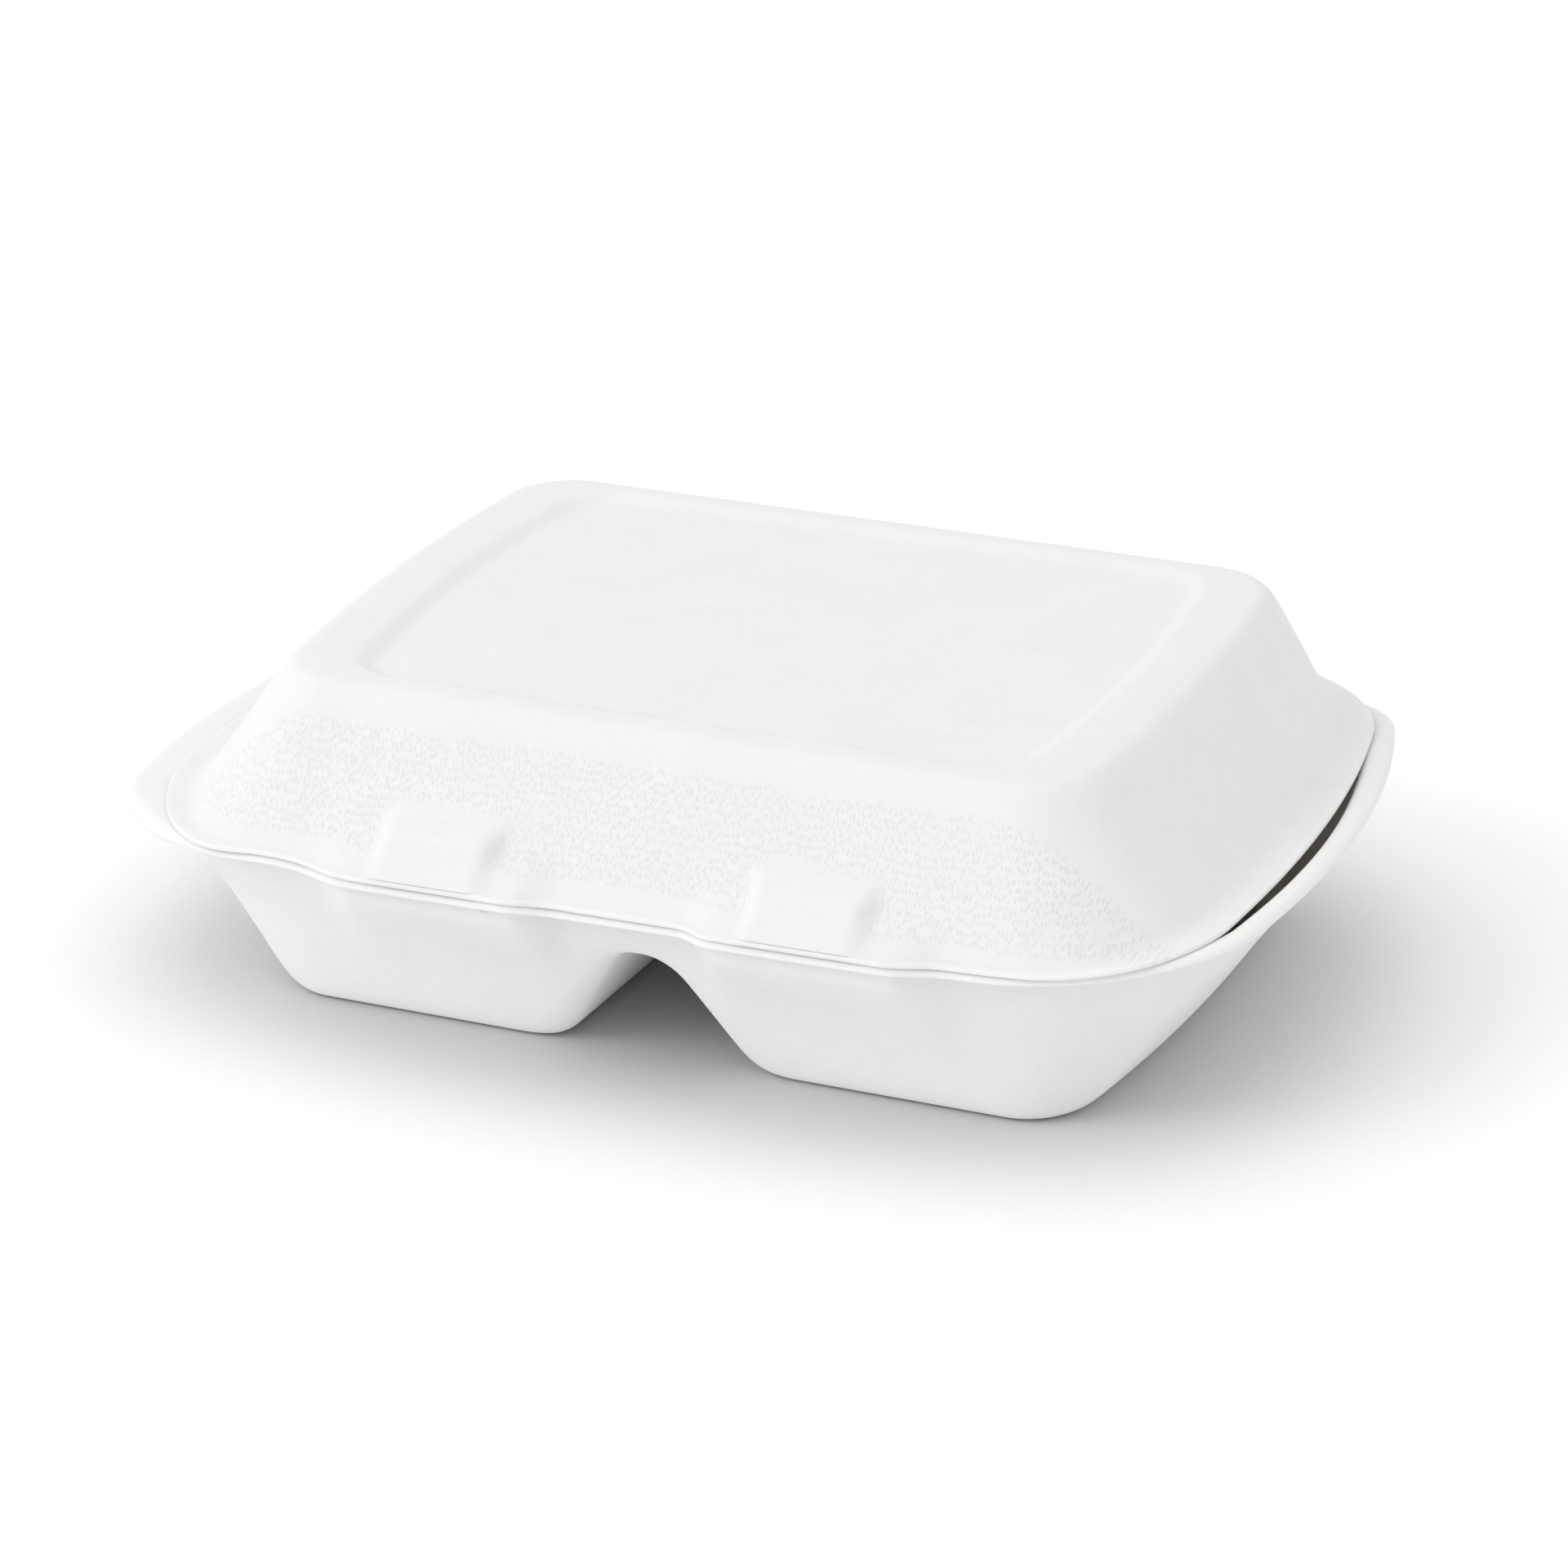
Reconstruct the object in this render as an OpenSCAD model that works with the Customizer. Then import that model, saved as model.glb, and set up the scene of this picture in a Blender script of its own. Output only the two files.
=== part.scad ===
// Two-compartment clamshell food box in molded fiber, shown closed.
// X runs along the long side, -Y is the front with the two latches, +Z is up.
// The origin is the middle of the footprint, on the surface the box stands on.

/* [Tray] */
// Full width over the widest part of the tray rim
tray_w = 230; // [210:1:290]
// Full depth over the tray rim
tray_d = 158; // [140:1:200]
// Height of the tray rim at the middle of the front
tray_h = 36; // [30:0.5:50]
// Thickness of the molded fiber
wall = 0.9; // [0.6:0.1:1.6]
// Width of the flat rim
rim_w = 5.4; // [4:0.1:8]
// How far the ends of the rim sweep up above its middle
rim_sweep = 5; // [0:0.5:8]
// Run of the front and back walls, from the rim down to the floor
wall_run_front = 14; // [10:0.5:24]
// Run of the end walls, from the rim down to the floor
wall_run_end = 28; // [18:0.5:34]
// Plan radius of the rim's front corners
rim_corner = 34; // [28:1:38]

/* [Divider] */
// Height of the ridge between the two pockets
ridge_h = 28; // [20:0.5:29]
// Width across the top of the ridge
ridge_w = 11; // [8:0.5:14]
// Gap between the two pocket floors
pocket_gap = 44; // [38:1:52]

/* [Lid] */
// Rise of the lid's top above its own rim
lid_rise = 26; // [20:0.5:36]
// How far the lid's ends sit in from the ends of the tray rim
lid_inset = 8; // [7:0.5:12]
// Height of the gap at the fold, where the lid stands up from the tray
fold_gap = 7.4; // [4:0.1:9]
// Run of the lid's end walls, from its rim up to the top
lid_run_end = 18; // [12:0.5:24]
// Run of the lid's front wall
lid_run_front = 13.5; // [9:0.5:18]
// Run of the lid's back wall
lid_run_back = 16.5; // [10:0.5:20]
// Distance from the lid's top edge in to the sunk panel, at the ends
panel_margin_end = 13; // [9:0.5:18]
// Distance from the lid's top edge in to the sunk panel, front and back
panel_margin_front = 7; // [6:0.5:12]
// Depth of the sunk panel
panel_depth = 1.6; // [0.8:0.1:3]

/* [Latches] */
// Distance of each latch from the middle
latch_x = 37; // [32:0.5:42]
// Length of the slit in the tray
slit_len = 27.5; // [20:0.5:32]
// Height of the slit
slit_h = 1.2; // [0.8:0.1:2]
// How far the latch ears stand out from the rim
ear_out = 4; // [3:0.5:7]
// Clear space around the lid's tongues
latch_gap = 1; // [0.6:0.1:1.5]
// Length of the tongues under the lid's ears
tongue_drop = 3.5; // [2.5:0.5:4.5]
// Height of the swelling above each latch
boss_h = 7.5; // [5:0.5:10]

/* [Hidden] */

fiber = "whitesmoke";

// Clear height between tray rim and lid rim at the front
seat_gap = 0.8;
// The origin is under the middle of the box with its latch ears, which stand out in front
shift_y = ear_out / 2;
// Half sizes of the tray rim
ta = tray_w / 2;
tb = tray_d / 2;
// The ends of the rim bow outward and are widest a little in front of the middle
tray_bow = 12.4;
tray_wide_y = -18;
lid_bow = 10.5;
lid_wide_y = -8;
// The sweep of the rim starts this far from the middle
sweep_from = 0.7 * ta;

// Fold line: half way between the two rims, just behind both
fold_y = tb + 0.5;
fold_z = tray_h + fold_gap / 2;
// The lid leans up from the front to the fold
lid_lean = (fold_gap - seat_gap) / tray_d;

function lerp(a, b, t) = a + (b - a) * t;
function clamp(v) = min(1, max(0, v));
function ease(v) = clamp(v) * clamp(v) * (3 - 2 * clamp(v));
// Maximum of two heights with a round of size k where they meet
function smax(a, b, k) = max(a, b) + pow(max(k - abs(a - b), 0), 2) / (4 * k);

// A ring is [half width, half depth, end bow, y of the widest point,
// front corner radius, back corner radius, y of its middle]
function mix(A, B, t) = [for (i = [0:6]) lerp(A[i], B[i], t)];
// The same ring a distance further in
function inset(R, d) = [R[0] - d, R[1] - d, R[2], R[3], max(1, R[4] - d), max(1, R[5] - d), R[6]];
function end_x(R, y) = R[0] - R[2] * pow((y - R[6] - R[3]) / R[1], 2);
function arc(A, B, C, u) =
    let (w = 0.72, p = (1 - u) * (1 - u), q = 2 * w * u * (1 - u), r = u * u)
    (p * A + q * B + r * C) / (p + q + r);
// Point on the corner of a ring: s is -1 at the front and 1 at the back,
// and u runs from the end of the box (0) to its long side (1)
function corner(R, s, u) =
    let (
        r = s < 0 ? R[4] : R[5],
        y0 = s * R[1] + R[6],
        x0 = end_x(R, y0),
        y1 = y0 - s * r
    )
    arc([end_x(R, y1), y1], [x0, y0], [x0 - r, y0], u);
// Where the straight part of the long side ends
function long_end(R, s) = corner(R, s, 1)[0];

// A sheet is a grid of cols by rows cells. Its outer cells follow the rings,
// and its inner cells fill the last ring. cc is how many grid lines turn a corner.
function ring_point(R, m, ii, jj, s, sx, cc, xs, t) =
    let (
        on_long = jj <= ii,
        u = on_long ? 0.5 + 0.5 * (ii - m) / (cc - m) : 0.5 - 0.5 * (jj - m) / (cc - m),
        in_corner = min(on_long ? ii : jj, cc) < cc,
        p = in_corner ? corner(R, s, u)
            : on_long ? [column_x(R, s, xs, ii - cc), s * R[1] + R[6]]
            : end_point(R, t)
    )
    [sx * p[0], p[1]];
// Columns: fixed distances near the middle, then shares of what is left
function column_x(R, s, xs, k) =
    let (
        e = long_end(R, s),
        n = len(xs[0]),
        m = len(xs[1])
    )
    k < m ? lerp(xs[0][0], e, xs[1][k]) : xs[0][min(k - m, n - 1)];
function end_point(R, t) =
    let (
        y1 = corner(R, -1, 0)[1],
        y2 = corner(R, 1, 0)[1],
        y = lerp(y1, y2, t)
    )
    [end_x(R, y), y];

// Plan position of grid point i, j
function plan(rings, i, j, ci, rows, cc, xs) =
    let (
        last = len(rings) - 1,
        ii = min(i, 2 * ci - i),
        jj = min(j, rows - j),
        m = min(ii, jj),
        s = j < rows / 2 ? -1 : 1,
        sx = i < ci ? -1 : 1,
        t = (j - cc) / (rows - 2 * cc),
        c = min(m, last)
    )
    m <= last ? ring_point(rings[c], m, ii, jj, s, sx, cc, xs, t)
    : let (
        R = rings[last],
        v = (j - last) / (rows - 2 * last),
        f = ring_point(R, last, ii, last, -1, sx, cc, xs, 0),
        b = ring_point(R, last, ii, last, 1, sx, cc, xs, 0),
        e = ring_point(R, last, last, jj, s, sx, cc, xs, t),
        f0 = ring_point(R, last, last, last, -1, sx, cc, xs, 0),
        b0 = ring_point(R, last, last, last, 1, sx, cc, xs, 0),
        g = (e[1] - f0[1]) / (b0[1] - f0[1])
    )
    [lerp(f[0], b[0], g), lerp(f[1], b[1], g)];

// Closed shell from two lists of grid points, the upper one first.
// Each tongue is a list of columns, and hangs from the first row of cells between
// shares share[0] and share[1] of their depth. trim draws its ends in along X.
module shell(top, low, cols, rows, tongues = [], share = [0, 0], drop = 0, trim = 0) {
    n = (cols + 1) * (rows + 1);
    held = [for (t = tongues, k = [0:len(t) - 2]) t[k]];
    cells = [for (i = [0:cols - 1], j = [0:rows - 1]) [i, j]];
    function halves(c) =
        let (
            a = c[0] * (rows + 1) + c[1],
            b = a + rows + 1,
            f = (c[0] < cols / 2) == (c[1] < rows / 2)
        )
        f ? [[a, b + 1, b], [a, a + 1, b + 1]] : [[a, a + 1, b], [b, a + 1, b + 1]];
    up = [for (c = cells) each halves(c)];
    down = [for (c = cells) if (c[1] > 0 || len(search(c[0], held)) == 0)
        each [for (f = halves(c)) [f[0] + n, f[2] + n, f[1] + n]]];
    edge = concat(
        [for (i = [0:cols]) i * (rows + 1)],
        [for (j = [1:rows]) cols * (rows + 1) + j],
        [for (i = [cols - 1:-1:0]) i * (rows + 1) + rows],
        [for (j = [rows - 1:-1:1]) j]
    );
    k = len(edge);
    side = [for (i = [0:k - 1])
        let (a = edge[i], b = edge[(i + 1) % k])
        each [[a, b, b + n], [a, b + n, a + n]]];
    // Four points a column: front and back at the root, then at the tip
    ends = len(tongues) == 0 ? 0 : len(tongues[0]) - 1;
    hung = [for (t = tongues, c = [0:ends])
        let (
            p = low[t[c] * (rows + 1)],
            q = low[t[c] * (rows + 1) + 1],
            in = c == 0 ? trim : c == ends ? -trim : 0
        )
        each [for (v = [[share[0], 0], [share[1], 0], [share[0], drop], [share[1], drop]])
            lerp(p, q, v[0]) + [in, 0, -v[1]]]];
    ribs = [for (t = [0:1:len(tongues) - 1])
        let (
            g = function (c, w) 2 * n + (t * (ends + 1) + c) * 4 + w,
            r = function (c, w) n + tongues[t][c] * (rows + 1) + w
        )
        each concat(
            [for (c = [0:ends - 1]) each [
                [r(c, 0), r(c + 1, 0), g(c + 1, 0), g(c, 0)],
                [g(c, 1), g(c + 1, 1), r(c + 1, 1), r(c, 1)],
                [g(c, 0), g(c + 1, 0), g(c + 1, 2), g(c, 2)],
                [g(c + 1, 1), g(c, 1), g(c, 3), g(c + 1, 3)],
                [g(c, 2), g(c + 1, 2), g(c + 1, 3), g(c, 3)]
            ]],
            [
                [r(0, 0), g(0, 0), g(0, 1), r(0, 1)],
                [r(ends, 0), r(ends, 1), g(ends, 1), g(ends, 0)],
                [g(0, 1), g(0, 0), g(0, 2), g(0, 3)],
                [g(ends, 0), g(ends, 1), g(ends, 3), g(ends, 2)]
            ]
        )];
    webs = [for (f = ribs) each [[f[0], f[1], f[2]], [f[0], f[2], f[3]]]];
    polyhedron(points = concat(top, low, hung), faces = concat(up, down, side, webs));
}

// How far something at x lies inside a latch zone: 1 inside, 0 outside
function latch_zone(x, half, fade_in, fade_out) =
    let (d = abs(x) - latch_x)
    d < 0 ? ease((d + half + fade_in) / fade_in) : ease((half + fade_out - d) / fade_out);
// Upward sweep of the rims toward the ends of the box
function sweep(x) = pow(max(0, abs(x) - sweep_from) / (ta - sweep_from), 2);

// Tray

tray_rim = [ta, tb, tray_bow, tray_wide_y, rim_corner, rim_corner - 8, 0];
tray_mouth = inset(tray_rim, rim_w);
tray_floor = [ta - rim_w - wall_run_end, tb - rim_w - wall_run_front, tray_bow / 3, 0, 13, 13, 0];
// Share of the way from mouth to floor, height as a share, slope factor, ear share
tray_steps = [
    [0.03, 0.985, 1.15, 0.95],
    [0.12, 0.885, 1.7, 0.93],
    [0.31, 0.69, 1.8, 0.45],
    [0.5, 0.5, 1.8, 0.18],
    [0.69, 0.31, 1.8, 0.04],
    [0.86, 0.13, 1.7, 0],
    [1.0, 0.04, 1.3, 0],
    [1.14, 0.0, 1.02, 0],
    [1.3, 0.0, 1, 0]
];
tray_rings = concat([tray_rim, tray_mouth], [for (s = tray_steps) mix(tray_mouth, tray_floor, s[0])]);
tray_cc = len(tray_rings);
tray_xs = [
    [52, 44, 34, pocket_gap / 2 + 3, pocket_gap / 2, 18, 14, 10, 6, 3, 0],
    [1, 0.75, 0.5, 0.25]
];
tray_ci = tray_cc + len(tray_xs[0]) + len(tray_xs[1]) - 1;
tray_rows = 2 * tray_cc + 4;

// Underside height of the ridge at x
function ridge_z(x) =
    let (
        top = ridge_h - wall,
        slope = top / ((pocket_gap - ridge_w) / 2),
        z = top - slope * (abs(x) - ridge_w / 2)
    )
    -smax(-top, -z, 5);
function tray_point(i, j, up) =
    let (
        p = plan(tray_rings, i, j, tray_ci, tray_rows, tray_cc, tray_xs),
        m = min(min(i, 2 * tray_ci - i), min(j, tray_rows - j)),
        front = j <= tray_rows / 2 && min(j, tray_rows - j) <= min(i, 2 * tray_ci - i),
        st = tray_steps[min(max(m - 2, 0), len(tray_steps) - 1)],
        share = m < 2 ? 1 : st[1],
        rim_z = tray_h + rim_sweep * sweep(p[0]) - wall,
        z0 = rim_z * share,
        f0 = m < 2 ? 1 : st[2],
        r = ridge_z(p[0]),
        z = m < 2 ? z0 : smax(z0, r, 6),
        wr = m < 2 ? 0 : clamp(0.5 + (r - z0) / 12),
        fr = abs(p[0]) < 3 ? 1 : 1.75,
        f = lerp(f0, r > z0 - 6 ? fr : f0, wr),
        ear = !front ? 0 : m == 0 ? ear_out : m == 1 ? ear_out + rim_w - 1.9 : (ear_out + rim_w - 1.9) * st[3],
        y = p[1] - ear * latch_zone(p[0], 16.5, 8, 11)
    )
    [p[0], y, z + (up ? wall * f : 0)];

// Slit through the swelling under each ear
slit_y = -tb - ear_out - 1;
slit_z = tray_h - wall - 2.2;

module tray() {
    color(fiber)
    translate([0, shift_y, 0])
    difference() {
        shell(
            [for (i = [0:2 * tray_ci], j = [0:tray_rows]) tray_point(i, j, true)],
            [for (i = [0:2 * tray_ci], j = [0:tray_rows]) tray_point(i, j, false)],
            2 * tray_ci, tray_rows
        );
        for (s = [-1, 1])
            translate([s * latch_x - slit_len / 2, slit_y, slit_z])
                cube([slit_len, 7.5, slit_h]);
    }
}

// Lid

la = ta - lid_inset;
lb = tb;
lid_rim_w = 5.5;
lid_rim = [la, lb, lid_bow, lid_wide_y, rim_corner - 8, rim_corner - 8, 0];
lid_foot = inset(lid_rim, lid_rim_w);
lid_top = [
    la - lid_rim_w - lid_run_end, lb - lid_rim_w - (lid_run_front + lid_run_back) / 2, 4.3, 0,
    12, 12, (lid_run_front - lid_run_back) / 2
];
lid_panel = [lid_top[0] - panel_margin_end, lid_top[1] - panel_margin_front, 4, 0, 8, 8, lid_top[6] + 0.7];
boss_share = boss_h / lid_rise;
// Share of the way from foot to top, height as a share, slope factor, boss depth
lid_steps = [
    [0.02, 0.04, 1.3, 3.6],
    [0.09, 0.13, 1.7, 4.2],
    [boss_share * 0.92, boss_share, 1.8, 4.6],
    [boss_share + 0.03, boss_share + 0.06, 1.8, 0.2],
    [0.6, 0.64, 1.8, 0],
    [0.83, 0.87, 1.6, 0],
    [0.93, 0.965, 1.25, 0],
    [1.07, 1.0, 1.02, 0]
];
lid_rings = concat(
    [lid_rim, lid_foot],
    [for (s = lid_steps) mix(lid_foot, lid_top, s[0])],
    [lid_panel, inset(lid_panel, 2.5), inset(lid_panel, 6)]
);
lid_cc = len(lid_rings);
// Columns on each side of a latch, at the ends, quarters and middle of its tongue
tongue_half = slit_len / 2 - 0.7;
tongue_cols = [for (t = [1, 0.5, 0, -0.5, -1]) latch_x + t * (tongue_half + 0.6)];
lid_xs = [
    concat([tongue_cols[0] + 6], tongue_cols, [tongue_cols[4] - 6, 10, 0]),
    [1, 0.66, 0.33]
];
lid_ci = lid_cc + len(lid_xs[0]) + len(lid_xs[1]) - 1;
lid_rows = 2 * lid_cc + 4;
lid_z = tray_h + seat_gap;

function lid_point(i, j, up) =
    let (
        p = plan(lid_rings, i, j, lid_ci, lid_rows, lid_cc, lid_xs),
        n = len(lid_steps),
        m = min(min(i, 2 * lid_ci - i), min(j, lid_rows - j)),
        front = j <= lid_rows / 2 && min(j, lid_rows - j) <= min(i, 2 * lid_ci - i),
        st = lid_steps[min(max(m - 2, 0), n - 1)],
        rise = lid_rise,
        z0 = m < 2 ? 0 : m < n + 3 ? rise * st[1] : rise - panel_depth,
        f = m < 2 ? 1 : m < n + 2 ? st[2] : 1.05,
        sw = 0.5 * rim_sweep * sweep(p[0]) * (1 - clamp(z0 / rise)),
        ear = !front ? 0 : m == 0 ? ear_out : m == 1 ? 3.4 : m < n + 2 ? st[3] : 0,
        zone = m == 0 ? latch_zone(p[0], 16.5, 8, 11) : latch_zone(p[0], 8, 6, 7),
        y = p[1] - ear * zone
    )
    [p[0], y, lid_z + wall + z0 + sw + lid_lean * (p[1] + tb) - (up ? 0 : wall * f)];

// Root of the tongues on the ear, as shares of its depth from edge to foot
ear_depth = ear_out + lid_rim_w - 3.4;
tongue_from = (1.9 + 1.6 + latch_gap) / ear_depth;
left_cols = [for (k = [0:4]) lid_cc + len(lid_xs[1]) + 1 + k];
right_cols = [for (k = [4:-1:0]) 2 * lid_ci - left_cols[k]];

module lid() {
    color(fiber)
    translate([0, shift_y, 0])
    shell(
        [for (i = [0:2 * lid_ci], j = [0:lid_rows]) lid_point(i, j, true)],
        [for (i = [0:2 * lid_ci], j = [0:lid_rows]) lid_point(i, j, false)],
        2 * lid_ci, lid_rows,
        [left_cols, right_cols], [tongue_from, tongue_from + wall / ear_depth], tongue_drop, 0.6
    );
}

tray();
lid();
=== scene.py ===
import math

import bmesh
import bpy
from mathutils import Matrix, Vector


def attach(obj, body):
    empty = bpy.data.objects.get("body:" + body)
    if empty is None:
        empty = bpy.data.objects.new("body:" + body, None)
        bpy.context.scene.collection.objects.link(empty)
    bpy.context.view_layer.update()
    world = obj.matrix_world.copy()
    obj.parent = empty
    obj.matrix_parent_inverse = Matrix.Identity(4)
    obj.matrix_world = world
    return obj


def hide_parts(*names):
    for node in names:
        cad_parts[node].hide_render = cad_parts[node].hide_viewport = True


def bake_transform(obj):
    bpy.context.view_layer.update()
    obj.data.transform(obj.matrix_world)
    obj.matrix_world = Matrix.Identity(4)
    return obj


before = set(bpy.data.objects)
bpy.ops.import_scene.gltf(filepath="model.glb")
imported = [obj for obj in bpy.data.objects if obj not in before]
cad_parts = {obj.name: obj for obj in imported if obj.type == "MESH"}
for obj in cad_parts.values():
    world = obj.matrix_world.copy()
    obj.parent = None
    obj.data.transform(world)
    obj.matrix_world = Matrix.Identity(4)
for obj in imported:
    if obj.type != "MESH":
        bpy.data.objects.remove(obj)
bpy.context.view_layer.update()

mm = 0.001

# Camera fitted to the photograph: millimetres and degrees, long lens
cameraView = {
    "azimuth": 23.46,
    "elevation": 21.13,
    "roll": 0.05,
    "distance": 1039.84,
    "target": (1.32, -2.95, 35.0),
    "lens": 124.46,
    "sensor": 36.0,
    "clip": (0.05, 20.0),
}


def makeCamera(v):
    a, e = math.radians(v["azimuth"]), math.radians(v["elevation"])
    back = Vector((math.sin(a) * math.cos(e), -math.cos(a) * math.cos(e), math.sin(e)))
    data = bpy.data.cameras.new("camera")
    data.sensor_width = v["sensor"]
    data.lens = v["lens"]
    data.clip_start, data.clip_end = v["clip"]
    cam = bpy.data.objects.new("camera", data)
    bpy.context.scene.collection.objects.link(cam)
    cam.location = (Vector(v["target"]) + back * v["distance"]) * mm
    cam.rotation_euler = (-back).to_track_quat("-Z", "Y").to_euler()
    cam.rotation_euler.rotate_axis("Z", math.radians(v["roll"]))
    bpy.context.scene.camera = cam


makeCamera(cameraView)
print("camera set")

# Shared by the shells, in millimetres: wall, shift along y from the fitted values to the frame,
# and twice the weight of the conic that rounds a corner
shellForm = {"thickness": 0.9, "shiftY": 2.0, "conic": 1.44}

# The latches: ears of both rims, slits in the tray, swellings of the lid.
# A slit end is its place along x, its width and how far it opens
latchForm = {
    "x": 37.0,
    "earHalf": 16.5,
    "earIn": 8.0,
    "earOut": 11.0,
    "ear": 4.0,
    "earFlat": 2.6,
    "earFrom": 0.05,
    "earFade": 0.3,
    "wallFrom": 0.1,
    "wallFade": 0.6,
    "wallPower": 1.6,
    "slitHalf": 13.7,
    "slitOpen": -0.25,
    "slitEnds": ((-25.4, 2.4, 1.7), (24.8, 2.2, 1.5), (44.5, 5.0, 0.8)),
    "bossHalf": 10.0,
    "bossIn": 2.4,
    "bossOut": 2.4,
    "bossHeight": 7.2,
    "bossFade": 2.6,
    "bossDepth": 5.0,
    "bossFoot": 0.45,
    "bossRoot": 0.2,
}


def lerp(a, b, t):
    return a + (b - a) * t


def ease(v):
    v = min(1.0, max(0.0, v))
    return v * v * (3 - 2 * v)


def bell(v):
    return math.exp(-v * v)


def softMax(a, b, k):
    return max(a, b) + max(k - abs(a - b), 0) ** 2 / (4 * k)


def softMin(a, b, k):
    return -softMax(-a, -b, k)


# A ring is half of a plan outline: half width, half depth, bow of the end, where the bow is widest,
# front corner along x and y, back corner along x and y, middle in y
def insetRing(r, d):
    return (r[0] - d, r[1] - d, r[2], r[3]) + tuple(max(1, c - d) for c in r[4:8]) + (r[8],)


def mixRing(a, b, t):
    return tuple(lerp(p, q, t) for p, q in zip(a, b))


def endX(r, y):
    return r[0] - r[2] * ((y - r[8] - r[3]) / r[1]) ** 2


def cornerPoint(r, side, u):
    # u runs from the end of the box to its long side, on a soft conic
    alongX, alongY = (r[4], r[5]) if side < 0 else (r[6], r[7])
    y0 = side * r[1] + r[8]
    x0 = endX(r, y0)
    y1 = y0 - side * alongY
    p, q, s = (1 - u) ** 2, shellForm["conic"] * u * (1 - u), u * u
    n = p + q + s
    return (p * endX(r, y1) + q * x0 + s * (x0 - alongX)) / n, (p * y1 + q * y0 + s * y0) / n


def ringPoint(rings, m, ii, jj, side, turn, middle, t):
    # A point of ring m, counted in from the nearest edges
    r = rings[m]
    onLong = jj <= ii
    k = ii if onLong else jj
    if k < turn:
        f = 0.5 * (k - m) / (turn - m)
        return cornerPoint(r, side, 0.5 + f if onLong else 0.5 - f)
    if onLong:
        e = cornerPoint(r, side, 1)[0]
        return e * (1 - (ii - turn) / middle), side * r[1] + r[8]
    y = lerp(cornerPoint(r, -1, 0)[1], cornerPoint(r, 1, 0)[1], t)
    return endX(r, y), y


def planPoint(sides, i, j, cols, rows):
    # Concentric rings outside, and a plain patch inside the last of them
    sx = -1 if i < cols / 2 else 1
    rings = sides[sx]
    turn = len(rings)
    last = turn - 1
    ii, jj = min(i, cols - i), min(j, rows - j)
    m = min(ii, jj)
    side = -1 if j < rows / 2 else 1
    middle = cols / 2 - turn
    t = (j - turn) / (rows - 2 * turn)
    if m <= last:
        p = ringPoint(rings, m, ii, jj, side, turn, middle, t)
        return sx * p[0], p[1], m
    f = ringPoint(rings, last, ii, last, -1, turn, middle, t)
    b = ringPoint(rings, last, ii, last, 1, turn, middle, t)
    e = ringPoint(rings, last, last, jj, side, turn, middle, t)
    f0 = ringPoint(rings, last, last, last, -1, turn, middle, 0)
    b0 = ringPoint(rings, last, last, last, 1, turn, middle, 0)
    g = (e[1] - f0[1]) / (b0[1] - f0[1])
    return sx * lerp(f[0], b[0], g), lerp(f[1], b[1], g), last + 1


def latchZone(x, part):
    # 1 over both latches' part, "ear" or "boss", and 0 away from them
    d = abs(x) - latchForm["x"]
    half, fadeIn, fadeOut = (latchForm[part + name] for name in ("Half", "In", "Out"))
    return ease((d + half + fadeIn) / fadeIn) if d < 0 else ease((half + fadeOut - d) / fadeOut)


def gridSheet(sides, extra, place):
    # A flat grid whose points are moved onto the molded form
    cols, rows = (2 * len(sides[1]) + more for more in extra)
    bm = bmesh.new()
    bmesh.ops.create_grid(bm, x_segments=cols, y_segments=rows, size=0.5)
    row = {}
    for v in bm.verts:
        i = round((v.co.x + 0.5) * cols)
        j = round((v.co.y + 0.5) * rows)
        x, y, m = planPoint(sides, i, j, cols, rows)
        front = j <= rows / 2 and min(j, rows - j) <= min(i, cols - i)
        x, y, z = place(x, y, m, front)
        v.co = (x * mm, (y + shellForm["shiftY"]) * mm, z * mm)
        row[v] = m if front else -1
    return bm, row


def newPiece(name, bm, body):
    for f in bm.faces:
        f.smooth = True
    mesh = bpy.data.meshes.new(name)
    bm.to_mesh(mesh)
    bm.free()
    piece = bpy.data.objects.new(name, mesh)
    bpy.context.scene.collection.objects.link(piece)
    if body:
        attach(piece, body)
    return piece


def thicken(piece, offset):
    wall = piece.modifiers.new("wall", "SOLIDIFY")
    wall.thickness = shellForm["thickness"] * mm
    wall.offset = offset
    wall.use_even_offset = False
    soft = piece.modifiers.new("soft", "SUBSURF")
    soft.levels = 1
    soft.render_levels = 1


def finishShell(name, bm, offset, body, node):
    bmesh.ops.recalc_face_normals(bm, faces=bm.faces)
    middle = min(bm.faces, key=lambda f: f.calc_center_median().xy.length)
    if middle.normal.z < 0:
        bmesh.ops.reverse_faces(bm, faces=bm.faces)
    piece = newPiece(name, bm, body)
    thicken(piece, offset)
    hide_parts(node)
    return piece


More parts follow.
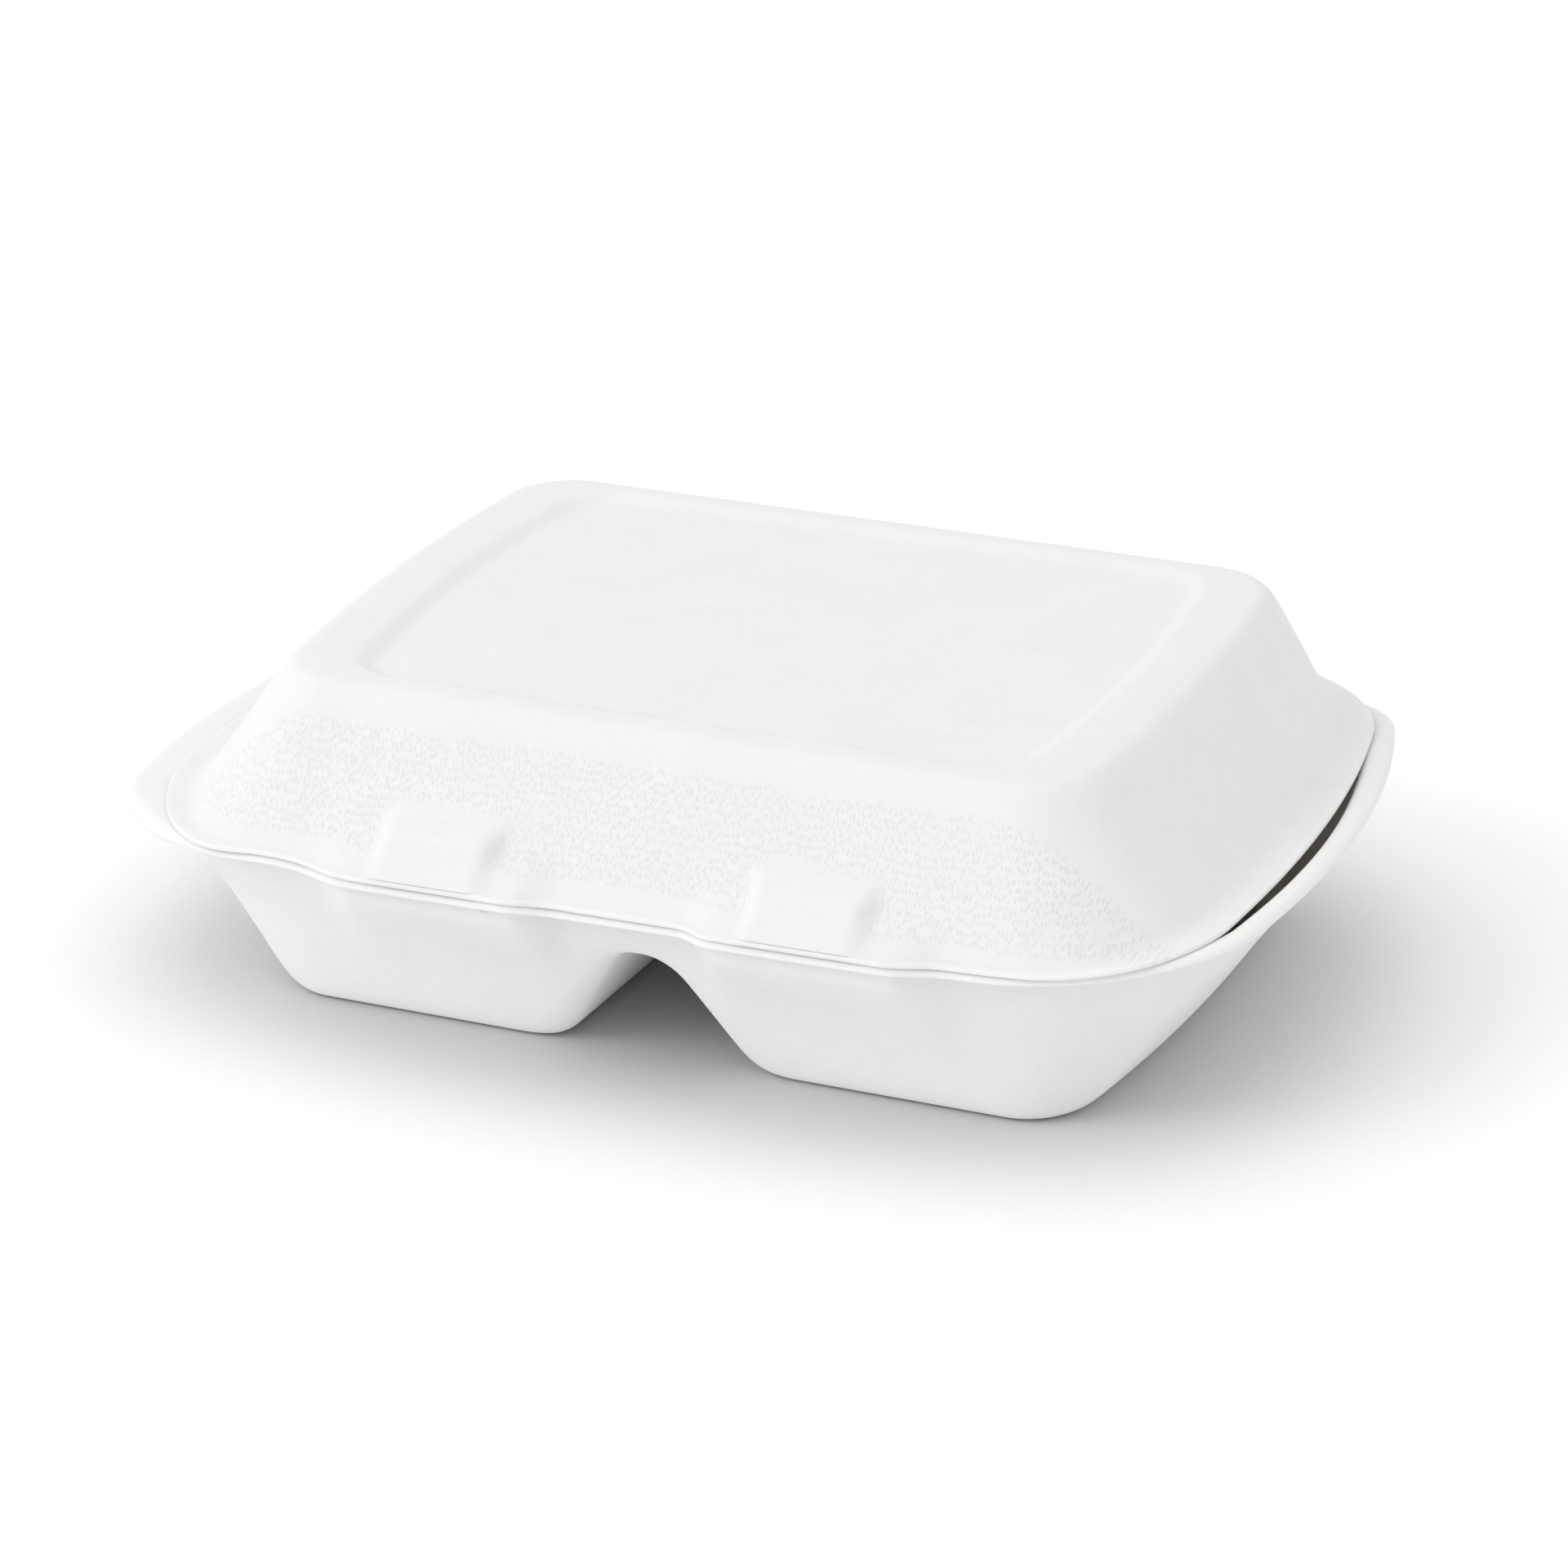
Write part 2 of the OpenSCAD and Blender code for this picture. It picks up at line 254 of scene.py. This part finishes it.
# Tray, in millimetres. lip, flat and steps place its rings: insets of the lip, shares of the flat
# rim, then shares of the way from the mouth down to the floor. A wave is its place, width and height
trayForm = {
    "right": (115.2, 79.8, 12.4, -18.0, 38.0, 29.0, 18.0, 18.0, 0.0),
    "left": (115.2, 79.8, 12.4, -18.0, 38.0, 24.0, 20.0, 20.0, 0.0),
    "floor": (84.4, 61.2, 4.1, 0.0, 11.0, 11.0, 11.0, 11.0, 0.0),
    "lip": [1.0, 0.95],
    "flat": [0.09, 0.45, 0.85],
    "steps": [
        0.0, 0.01, 0.0245, 0.038, 0.062, 0.09, 0.12, 0.16, 0.24, 0.33, 0.43,
        0.53, 0.63, 0.73, 0.82, 0.9, 0.97, 1.04, 1.12, 1.22, 1.36,
    ],
    "slitStep": 2,
    "grid": (80, 28),
    "rimRight": 4.0,
    "rimLeft": 8.6,
    "rimFront": 6.0,
    "rimEnd": 115.0,
    "height": 35.5,
    "frontDip": 0.5,
    "frontAt": 84.0,
    "frontFade": 42.0,
    "sweep": 4.89,
    "twist": 1.57,
    "sweepFrom": 60.0,
    "wave": (-70.0, 11.0, 1.7),
    "earRise": (1.2, 0.5),
    "lipFront": 0.5,
    "lipLeft": 3.2,
    "lipRight": 0.5,
    "lipFrom": 82.0,
    "lipFade": 24.0,
    "lipRise": 0.35,
    "flatShare": 0.25,
    "ridgeTop": 23.9,
    "ridgeHalf": 4.4,
    "ridgeSlope": 1.64,
    "ridgeRound": 5.0,
    "valleyRound": 13.0,
    "floorRound": 5.5,
    "mouthRound": 1.6,
    "mouthShare": 0.12,
}
trayEdge = len(trayForm["lip"]) + len(trayForm["flat"])
slitRing = trayEdge + trayForm["slitStep"]


def rimHeight(x, y):
    # Top of the tray's rim: it sweeps up at the ends, twists a little, and waves beside the left latch
    f = trayForm
    far, end = f["sweepFrom"], f["rimEnd"]
    up = f["sweep"] * (max(0.0, abs(x) - far) / (end - far)) ** 2 + f["twist"] * x / end
    front = 1 - ease((y + f["frontAt"]) / f["frontFade"])
    at, wide, high = f["wave"]
    ears = f["earRise"][x > 0] * latchZone(x, "ear")
    return f["height"] + up + front * (high * bell((x - at) / wide) + ears - f["frontDip"])


def trayRings(side):
    f = trayForm
    outer = f[side]
    edge = insetRing(outer, f["lip"][0])
    mouth = insetRing(outer, f["rimFront"])
    mouth = (outer[0] - f["rimRight" if side == "right" else "rimLeft"],) + mouth[1:]
    rings = [insetRing(outer, d) for d in f["lip"]] + [mixRing(edge, mouth, s) for s in f["flat"]]
    return rings + [mixRing(mouth, f["floor"], s) for s in f["steps"]]


def slitOpening(x):
    ends = latchForm["slitEnds"]
    return latchForm["slitOpen"] + sum(high * bell((x - at) / wide) for at, wide, high in ends)


def inSlit(x):
    return abs(abs(x) - latchForm["x"]) < latchForm["slitHalf"]


def trayPlace(x, y, m, front):
    f, latch = trayForm, latchForm
    steps = f["steps"]
    across = ([0.0, 0.0] + f["flat"])[m] if m < trayEdge else 1.0
    s = steps[min(m - trayEdge, len(steps) - 1)] if m >= trayEdge else (across - 1) * f["flatShare"]
    if front:
        share = 1.0
        if s > latch["wallFrom"]:
            share = max(0.0, 1 - (s - latch["wallFrom"]) / latch["wallFade"]) ** latch["wallPower"]
        deep = latch["ear"] + (f["rimFront"] - latch["earFlat"]) * ease(across)
        y -= deep * share * latchZone(x, "ear")
    under = rimHeight(x, y) - shellForm["thickness"]
    if m < len(f["lip"]):
        ends = ease((abs(x) - f["lipFrom"]) / f["lipFade"])
        lip = lerp(f["lipFront"], f["lipRight"] if x > 0 else f["lipLeft"], ends)
        return x, y, under - (lip if m == 0 else f["lipRise"])
    line = under * (1 - s)
    ridge = f["ridgeTop"] - f["ridgeSlope"] * (abs(x) - f["ridgeHalf"])
    walls = softMax(line, ridge, f["valleyRound"])
    walls = softMin(walls, softMax(f["ridgeTop"], line, f["ridgeRound"]), f["ridgeRound"])
    if s < f["mouthShare"]:
        walls = lerp(line, walls, ease(s / f["mouthShare"]))
    z = softMin(softMax(walls, 0.0, f["floorRound"]), under, f["mouthRound"])
    if front and m == slitRing + 1 and inSlit(x):
        z = under * (1 - steps[f["slitStep"]]) - slitOpening(x)
    return x, y, z


traySides = {1: trayRings("right"), -1: trayRings("left")}
trayGrid, trayRow = gridSheet(traySides, trayForm["grid"], trayPlace)
slitFaces = [
    f
    for f in trayGrid.faces
    if all(trayRow[v] in (slitRing, slitRing + 1) and inSlit(v.co.x / mm) for v in f.verts)
]
bmesh.ops.delete(trayGrid, geom=slitFaces, context="FACES_ONLY")
tray = finishShell("trayShell", trayGrid, 1.0, "tray", "tray")
print("tray shell", len(tray.data.polygons), "slit faces", len(slitFaces))

# Lid, in millimetres. flange, steps and panelSteps place its rings: shares of the way across the
# rim, shares of the way from the foot of the dome up to its top, and insets into the sunk panel
lidForm = {
    "right": (108.8, 79.6, 8.4, -25.0, 27.0, 27.0, 26.0, 26.0, 0.0),
    "left": (107.2, 79.6, 9.0, -27.0, 23.0, 37.0, 26.0, 26.0, 0.0),
    "top": (83.5, 58.55, 4.3, 0.0, 12.0, 12.0, 12.0, 12.0, -1.55),
    "flange": [0.0, 0.07, 0.4, 0.75],
    "steps": [
        0.0, 0.04, 0.09, 0.15, 0.21, 0.27, 0.32, 0.37, 0.44, 0.52,
        0.61, 0.7, 0.78, 0.85, 0.91, 0.96, 1.01, 1.07, 1.16,
    ],
    "panelSteps": [0.0, 0.8, 1.7, 2.6, 3.6, 4.6, 6.6],
    "grid": (96, 14),
    "footEnd": 6.0,
    "footFront": 2.3,
    "footBack": 5.5,
    "footCorners": (3, 3, 5, 5),
    "seat": 0.06,
    "edgeHalf": 79.6,
    "edgeFront": 35.2,
    "edgeLean": 7.7,
    "edgeRoll": 0.9,
    "edgeEnd": 107.0,
    "edgeRound": 1.2,
    "flatShare": 0.3,
    "rise": 26.0,
    "pastTop": 1.3,
    "topFront": 63.7,
    "topFrom": 79.0,
    "topLean": 0.0418,
    "panelEnd": 13.0,
    "panelFront": 7.0,
    "panelShift": 0.4,
    "panelOut": 2.0,
    "panelFrom": 0.2,
    "panelWall": 4.4,
    "panelDepth": 1.5,
    "panelCorner": 8.0,
    "footRound": 2.2,
    "topRound": 3.6,
}


def lidEdge(x, y):
    # Top of the lid's edge: it lies on the tray's rim in front and stands off it at the fold
    f = lidForm
    over = rimHeight(x, y) + shellForm["thickness"] + f["seat"]
    half = f["edgeHalf"]
    lean = f["edgeFront"] + f["edgeLean"] * (y + half) / (2 * half) - f["edgeRoll"] * x / f["edgeEnd"]
    return softMax(over, lean, f["edgeRound"])


def lidFoot(outer):
    f = lidForm
    inset = (f["footFront"] + f["footBack"]) / 2
    corners = tuple(c - less for c, less in zip(outer[4:8], f["footCorners"]))
    middle = (f["footFront"] - f["footBack"]) / 2
    return (outer[0] - f["footEnd"], outer[1] - inset, outer[2], outer[3]) + corners + (middle,)


def lidRings(outer):
    f = lidForm
    foot, top = lidFoot(outer), f["top"]
    corner = (f["panelCorner"],) * 4
    panel = (top[0] - f["panelEnd"], top[1] - f["panelFront"], top[2], 0.0)
    panel += corner + (top[8] + f["panelShift"],)
    rings = [mixRing(outer, foot, s) for s in f["flange"]] + [mixRing(foot, top, s) for s in f["steps"]]
    return rings + [insetRing(panel, d - f["panelOut"]) for d in f["panelSteps"]]


def lidPlace(x, y, m, front):
    f, latch = lidForm, latchForm
    flat, steps, inner = len(f["flange"]), f["steps"], f["panelSteps"]
    sunk = 0.0
    if m < flat:
        s = (f["flange"][m] - 1) * f["flatShare"]
    elif m < flat + len(steps):
        s = steps[m - flat]
    else:
        s = f["pastTop"]
        k = min(m - flat - len(steps), len(inner) - 1)
        sunk = f["panelDepth"] * ease((inner[k] - f["panelFrom"]) / f["panelWall"])
    rise = f["rise"]
    z = softMin(softMax(rise * s, 0.0, f["footRound"]), rise, f["topRound"]) / rise
    if front:
        # The ears reach out of the rim, and each swelling stands steeper than the wall behind it
        edge = latch["ear"] * (1 - ease((s + latch["earFrom"]) / latch["earFade"]))
        keep = 1 - ease((rise * s - latch["bossHeight"]) / latch["bossFade"])
        grown = lerp(latch["bossFoot"], 1.0, min(1.0, max(0.0, rise * s / latch["bossHeight"])))
        boss = latch["bossDepth"] * grown * keep * ease((s + latch["bossRoot"]) / latch["bossRoot"])
        y -= edge * latchZone(x, "ear") + boss * latchZone(x, "boss")
    low = lidEdge(x, y)
    high = f["topFront"] + f["topLean"] * (y + f["topFrom"])
    return x, y, lerp(low, high, z) - sunk


lidSides = {1: lidRings(lidForm["right"]), -1: lidRings(lidForm["left"])}
lidGrid = gridSheet(lidSides, lidForm["grid"], lidPlace)[0]
lid = finishShell("lidShell", lidGrid, -1.0, "lid", "lid")
print("lid shell", len(lid.data.polygons))

# Tongues that hang under the lid's ears, behind the tray's slits
tongueForm = {"half": 12.6, "y": -78.6, "drop": 3.4, "up": 1.6, "tip": 0.7, "grid": (12, 5)}


def addTongue(side):
    f = tongueForm
    bm = bmesh.new()
    bmesh.ops.create_grid(bm, x_segments=f["grid"][0], y_segments=f["grid"][1], size=0.5)
    for v in bm.verts:
        u, w = v.co.x * 2, v.co.y + 0.5
        x = side * latchForm["x"] + u * (f["half"] - f["tip"] * (1 - w))
        y = f["y"] + (1 - w) ** 2 * f["tip"] + shellForm["shiftY"]
        root = lidEdge(x, f["y"]) - shellForm["thickness"]
        v.co = (x * mm, y * mm, (root + lerp(-f["drop"], f["up"], w)) * mm)
    bmesh.ops.recalc_face_normals(bm, faces=bm.faces)
    piece = newPiece("leftTongue" if side < 0 else "rightTongue", bm, "lid")
    thicken(piece, 0.0)
    return piece


tongues = [addTongue(side) for side in (-1, 1)]

# The fold: a creased web between the back edges of the tray and the lid
foldForm = {
    "half": 68.0,
    "y": 78.6,
    "trayY": 79.0,
    "lidY": 79.6,
    "sink": 0.5,
    "crease": 0.7,
    "creasePower": 1.4,
    "grid": (60, 10),
}


def addFold(f):
    bm = bmesh.new()
    bmesh.ops.create_grid(bm, x_segments=f["grid"][0], y_segments=f["grid"][1], size=0.5)
    for v in bm.verts:
        x = v.co.x * 2 * f["half"]
        w = v.co.y + 0.5
        low = rimHeight(x, f["trayY"]) - f["sink"]
        high = lidEdge(x, f["lidY"]) - f["sink"]
        out = f["crease"] * (1 - abs(2 * w - 1)) ** f["creasePower"]
        v.co = (x * mm, (f["y"] + out + shellForm["shiftY"]) * mm, lerp(low, high, w) * mm)
    bmesh.ops.recalc_face_normals(bm, faces=bm.faces)
    piece = newPiece("foldStrip", bm, None)
    thicken(piece, 0.0)
    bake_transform(piece)
    return piece


fold = addFold(foldForm)
print("tongues and fold")


# Shader maths: a socket that takes part in plain expressions
class Field:
    def __init__(self, look, socket):
        self.look, self.socket = look, socket

    def math(self, operation, *values):
        return self.look.node("ShaderNodeMath", {"operation": operation}, dict(enumerate(values)))

    def __add__(self, other):
        return self.math("ADD", self, other)

    __radd__ = __add__

    def __sub__(self, other):
        return self.math("SUBTRACT", self, other)

    def __rsub__(self, other):
        return self.math("SUBTRACT", other, self)

    def __mul__(self, other):
        return self.math("MULTIPLY", self, other)

    __rmul__ = __mul__

    def __pow__(self, other):
        return self.math("POWER", self, other)

    def __abs__(self):
        return self.math("ABSOLUTE", self)

    def least(self, other):
        return self.math("MINIMUM", self, other)

    def outputs(self, *names):
        return [Field(self.look, self.socket.node.outputs[name]) for name in names]


class Look:
    def __init__(self, tree):
        self.tree = tree
        tree.nodes.clear()

    def node(self, kind, settings=None, inputs=None, output=0):
        made = self.tree.nodes.new(kind)
        for key, value in (settings or {}).items():
            setattr(made, key, value)
        for key, value in (inputs or {}).items():
            if isinstance(value, Field):
                self.tree.links.new(value.socket, made.inputs[key])
            else:
                made.inputs[key].default_value = value
        return Field(self, made.outputs[output] if made.outputs else None)

    def between(self, value, limits):
        low, high = limits
        return self.node(
            "ShaderNodeMapRange",
            {"interpolation_type": "SMOOTHSTEP"},
            {"Value": value, "From Min": low, "From Max": high},
        )

    def tint(self, amount, a, b):
        return self.node("ShaderNodeMix", {"data_type": "RGBA"}, {0: amount, 6: a, 7: b}, 2)


# Pressed plant fiber: patterns in metres on the object's own coordinates.
# A noise is its scale, detail and roughness
fiberForm = {
    "pale": (0.9, 0.893, 0.884, 1),
    "deep": (0.878, 0.868, 0.855, 1),
    "fleck": (0.3, 0.2, 0.12, 1),
    "dash": (0.86, 0.8, 0.765, 1),
    "cloud": (70.0, 3.0, 0.5),
    "pulp": (420.0, 4.0, 0.6),
    "grain": (1900.0, 2.0, 0.5),
    "toneShares": (0.6, 0.4),
    "tone": (0.35, 0.68),
    "heights": (0.5, 0.22, 1.1),
    "fleckScale": 24.0,
    "fleckSize": (0.005, 0.009),
    "bump": (0.32, 0.0003),
    "roughness": (0.78, 0.14),
    "subsurface": 0.3,
    "radius": (1.0, 0.84, 0.68),
    "depth": 0.0028,
    "specular": 0.3,
}

# Short marks of the forming screen on the lid's front wall, none on the swellings, in metres
screenForm = {
    "perMetre": (1400.0, 660.0),
    "loose": 0.75,
    "size": (0.14, 0.34),
    "latchX": 0.037,
    "wallLow": (0.0385, 0.0405),
    "wallHigh": (0.0585, 0.0615),
    "wallBack": (-0.0625, -0.0605),
    "besideBoss": (0.010, 0.0145),
    "aboveBoss": (0.0465, 0.049),
    "patch": (95.0, 2.0, 0.5),
    "cover": (0.24, 0.44),
    "height": 1.4,
}


def noise(look, place, form):
    scale, detail, rough = form
    inputs = {"Vector": place, "Scale": scale, "Detail": detail, "Roughness": rough}
    return look.node("ShaderNodeTexNoise", None, inputs)


def screenMarks(look, place):
    f = screenForm
    x, y, z = look.node("ShaderNodeSeparateXYZ", None, {0: place}).outputs(0, 1, 2)
    flat = look.node("ShaderNodeCombineXYZ", None, {0: x * f["perMetre"][0], 1: z * f["perMetre"][1]})
    cells = look.node(
        "ShaderNodeTexVoronoi",
        {"voronoi_dimensions": "2D"},
        {"Vector": flat, "Scale": 1.0, "Randomness": f["loose"]},
    )
    marks = 1 - look.between(cells, f["size"])
    wall = look.between(z, f["wallLow"]) * (1 - look.between(z, f["wallHigh"]))
    wall = wall * (1 - look.between(y, f["wallBack"]))
    beside = look.between(abs(abs(x) - f["latchX"]), f["besideBoss"])
    offBoss = 1 - (1 - beside) * (1 - look.between(z, f["aboveBoss"]))
    return marks * wall * offBoss * look.between(noise(look, place, f["patch"]), f["cover"])


def fiberLook(name, screen):
    f = fiberForm
    made = bpy.data.materials.new(name)
    made.use_nodes = True
    look = Look(made.node_tree)
    place = look.node("ShaderNodeTexCoord", output=3)
    cloud, pulp, grain = (noise(look, place, f[kind]) for kind in ("cloud", "pulp", "grain"))
    spots = look.node("ShaderNodeTexVoronoi", None, {"Vector": place, "Scale": f["fleckScale"]})
    tone = cloud * f["toneShares"][0] + pulp * f["toneShares"][1]
    colour = look.tint(look.between(tone, f["tone"]), f["pale"], f["deep"])
    height = pulp * f["heights"][0] + grain * f["heights"][1] + cloud * f["heights"][2]
    if screen:
        marks = screenMarks(look, place)
        colour = look.tint(marks, colour, f["dash"])
        height = height + marks * screenForm["height"]
    colour = look.tint(1 - look.between(spots, f["fleckSize"]), colour, f["fleck"])
    strength, distance = f["bump"]
    bump = look.node("ShaderNodeBump", None, {"Height": height, "Strength": strength, "Distance": distance})
    shader = look.node(
        "ShaderNodeBsdfPrincipled",
        {"subsurface_method": "RANDOM_WALK"},
        {
            "Base Color": colour,
            "Roughness": f["roughness"][0] + f["roughness"][1] * pulp,
            "Subsurface Weight": f["subsurface"],
            "Subsurface Radius": f["radius"],
            "Subsurface Scale": f["depth"],
            "Specular IOR Level": f["specular"],
            "Normal": bump,
        },
    )
    look.node("ShaderNodeOutputMaterial", None, {"Surface": shader})
    return made


trayFiber = fiberLook("trayFiber", False)
lidFiber = fiberLook("lidFiber", True)
lid.data.materials.append(lidFiber)
for piece in [tray, fold] + tongues:
    piece.data.materials.append(trayFiber)
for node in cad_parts.values():
    node.data.materials.clear()
    node.data.materials.append(trayFiber)
print("materials")

# Stage, lights and world, in metres and watts
lightForm = {
    "world": 0.84,
    "key": {"place": (-1.1, -1.35, 1.15), "size": 1.1, "power": 11.0},
    "top": {"place": (0.1, 0.2, 2.0), "size": 1.6, "power": 1.5},
}


def addLamp(name):
    form = lightForm[name]
    data = bpy.data.lights.new(name + "Lamp", "AREA")
    data.shape = "SQUARE"
    data.size = form["size"]
    data.energy = form["power"]
    lamp = bpy.data.objects.new(name + "Lamp", data)
    bpy.context.scene.collection.objects.link(lamp)
    lamp.location = form["place"]
    lamp.rotation_euler = (-Vector(form["place"])).to_track_quat("-Z", "Y").to_euler()


for lampName in ("key", "top"):
    addLamp(lampName)


def seenDirectly(look):
    path = look.node("ShaderNodeLightPath")
    seen, glossy, through = path.outputs("Is Camera Ray", "Is Glossy Ray", "Is Transmission Ray")
    return (seen + glossy + through).least(1.0)


def grey(level):
    return (level, level, level, 1)


world = bpy.data.worlds.new("studio")
bpy.context.scene.world = world
world.use_nodes = True
sky = Look(world.node_tree)
ambient = sky.node("ShaderNodeBackground", None, {"Color": grey(1), "Strength": lightForm["world"]})
white = sky.node("ShaderNodeBackground", None, {"Color": grey(1), "Strength": 1.0})
shown = sky.node("ShaderNodeMixShader", None, {0: seenDirectly(sky), 1: ambient, 2: white})
sky.node("ShaderNodeOutputWorld", None, {"Surface": shown})

# The floor: pale to the object's light, white to the camera but for painted shade near the object, where
# ambient occlusion darkens its colour and holds back its glow
stageForm = {
    "size": 6.0,
    "below": 0.0002,
    "bounce": 0.93,
    "open": 0.95,
    "shade": 0.5,
    "reach": 0.07,
    "samples": 12,
    "falloff": 1.2,
    "glow": 0.14,
    "glowFrom": (0.25, 0.85),
}
floorMesh = bmesh.new()
bmesh.ops.create_grid(floorMesh, x_segments=1, y_segments=1, size=stageForm["size"] / 2)
floorData = bpy.data.meshes.new("floor")
floorMesh.to_mesh(floorData)
floorMesh.free()
floor = bpy.data.objects.new("floor", floorData)
bpy.context.scene.collection.objects.link(floor)
floor.location.z = -stageForm["below"]


def floorLook():
    f = stageForm
    made = bpy.data.materials.new("floor")
    made.use_nodes = True
    look = Look(made.node_tree)
    # Painted shadow: ambient occlusion near the object darkens the floor's colour and fades its white glow
    near = look.node("ShaderNodeAmbientOcclusion", {"samples": f["samples"]}, {"Distance": f["reach"]}, 1)
    shade = look.tint(near ** f["falloff"], grey(f["shade"]), grey(f["open"]))
    glow = look.tint(look.between(near, f["glowFrom"]), grey(0), grey(1))
    bounce = look.node("ShaderNodeBsdfDiffuse", None, {"Color": grey(f["bounce"])})
    matte = look.node("ShaderNodeBsdfDiffuse", None, {"Color": shade})
    light = look.node("ShaderNodeEmission", None, {"Color": glow, "Strength": f["glow"]})
    seen = look.node("ShaderNodeAddShader", None, {0: matte, 1: light})
    mixed = look.node("ShaderNodeMixShader", None, {0: seenDirectly(look), 1: bounce, 2: seen})
    look.node("ShaderNodeOutputMaterial", None, {"Surface": mixed})
    return made


floor.data.materials.append(floorLook())
bpy.context.scene.view_settings.view_transform = "Standard"
print("stage and lights")

bpy.context.view_layer.update()
